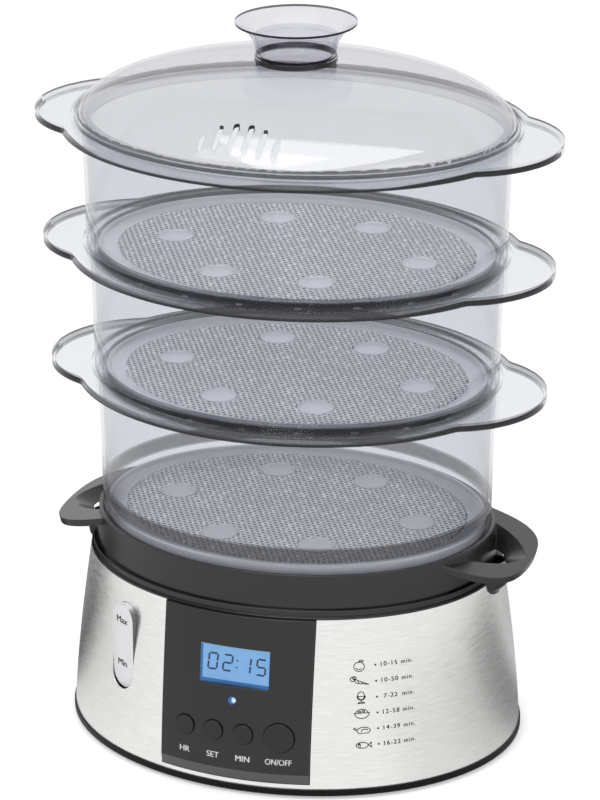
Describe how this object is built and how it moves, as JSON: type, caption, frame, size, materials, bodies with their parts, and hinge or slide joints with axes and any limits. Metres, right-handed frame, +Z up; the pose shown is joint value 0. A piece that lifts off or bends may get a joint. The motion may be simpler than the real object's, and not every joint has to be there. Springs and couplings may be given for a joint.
{
  "type": "electric food steamer",
  "caption": "Electric food steamer: oval steel base with a water tank, gauge and timer panel, a drip tray, stacked clear bowls that lift off, and a domed lid with a knob.",
  "frame": {"origin": "under the middle of the base, on the surface it stands on", "axes": "+Z up, -Y towards the control panel, +X to the right of someone facing the panel"},
  "size_m": [0.286, 0.211, 0.3939],
  "materials": {
    "brushed_steel_skin": "satin",
    "black_plastic": "satin",
    "panel_plastic": "satin",
    "button_plastic": "satin",
    "bowl_plastic": "clear",
    "grate_plastic": "clear",
    "lid_plastic": "clear",
    "gauge_plastic": "clear",
    "rubber": "matt",
    "silicone": "matt",
    "heater_metal": "satin",
    "element_sheath": "satin",
    "bracket_steel": "satin",
    "screw_steel": "satin",
    "brass": "satin",
    "booster_plastic": "satin",
    "display_window_plastic": "gloss",
    "display_body": "satin",
    "lamp_plastic": "gloss",
    "circuit_board": "satin",
    "switch_plastic": "satin",
    "relay_plastic": "gloss",
    "capacitor_plastic": "gloss",
    "transformer_core": "satin"
  },
  "bodies": {
    "base": {"base_plate": "black_plastic", "rubber_feet": "rubber", "base_screws": "screw_steel", "steel_skirt": "brushed_steel_skin", "cord_inlet": "rubber", "water_tank": "black_plastic", "gauge_window": "gauge_plastic", "gauge_gasket": "silicone", "heater_plate": "heater_metal", "heater_gasket": "silicone", "heating_coil": "element_sheath", "heater_terminals": "brass", "heater_bracket": "bracket_steel", "heater_nut": "screw_steel", "thermostat": "switch_plastic", "thermal_fuse": "brass", "steam_booster": "booster_plastic", "control_panel": "panel_plastic", "display_window": "display_window_plastic", "display_module": "display_body", "indicator_lamp": "lamp_plastic", "control_board": "circuit_board", "panel_screws": "screw_steel", "push_switches": "switch_plastic", "buzzer": "switch_plastic", "power_board": "circuit_board", "power_board_screws": "screw_steel", "relay": "relay_plastic", "mains_capacitor": "capacitor_plastic", "transformer": "transformer_core"},
    "tray": {"drip_tray": "black_plastic"},
    "bowl_low": {"lower_bowl": "bowl_plastic", "lower_grate": "grate_plastic"},
    "bowl_mid": {"middle_bowl": "bowl_plastic", "middle_grate": "grate_plastic"},
    "bowl_top": {"upper_bowl": "bowl_plastic", "upper_grate": "grate_plastic"},
    "cover": {"lid": "lid_plastic", "lid_knob": "lid_plastic"},
    "hour_key": {"hour_button": "button_plastic"},
    "set_key": {"set_button": "button_plastic"},
    "minute_key": {"minute_button": "button_plastic"},
    "power_key": {"power_button": "button_plastic"}
  },
  "joints": [
    {"name": "tray_lift", "type": "slide", "parent": "base", "child": "tray", "axis": [0, 0, 1], "range_m": [0, 0.06]},
    {"name": "lower_bowl_lift", "type": "slide", "parent": "tray", "child": "bowl_low", "axis": [0, 0, 1], "range_m": [0, 0.09]},
    {"name": "middle_bowl_lift", "type": "slide", "parent": "bowl_low", "child": "bowl_mid", "axis": [0, 0, 1], "range_m": [0, 0.09]},
    {"name": "upper_bowl_lift", "type": "slide", "parent": "bowl_mid", "child": "bowl_top", "axis": [0, 0, 1], "range_m": [0, 0.09]},
    {"name": "lid_lift", "type": "slide", "parent": "bowl_top", "child": "cover", "axis": [0, 0, 1], "range_m": [0, 0.06]},
    {"name": "hour_press", "type": "slide", "parent": "base", "child": "hour_key", "axis": [0, 0.9932, -0.1164], "range_m": [0, 0.0006], "stiffness_N_per_m": 1500, "springref_m": -0.0005},
    {"name": "set_press", "type": "slide", "parent": "base", "child": "set_key", "axis": [0, 0.9932, -0.1164], "range_m": [0, 0.0006], "stiffness_N_per_m": 1500, "springref_m": -0.0005},
    {"name": "minute_press", "type": "slide", "parent": "base", "child": "minute_key", "axis": [0, 0.9932, -0.1164], "range_m": [0, 0.0006], "stiffness_N_per_m": 1500, "springref_m": -0.0005},
    {"name": "power_press", "type": "slide", "parent": "base", "child": "power_key", "axis": [0, 0.9932, -0.1164], "range_m": [0, 0.0006], "stiffness_N_per_m": 1500, "springref_m": -0.0005}
  ]
}
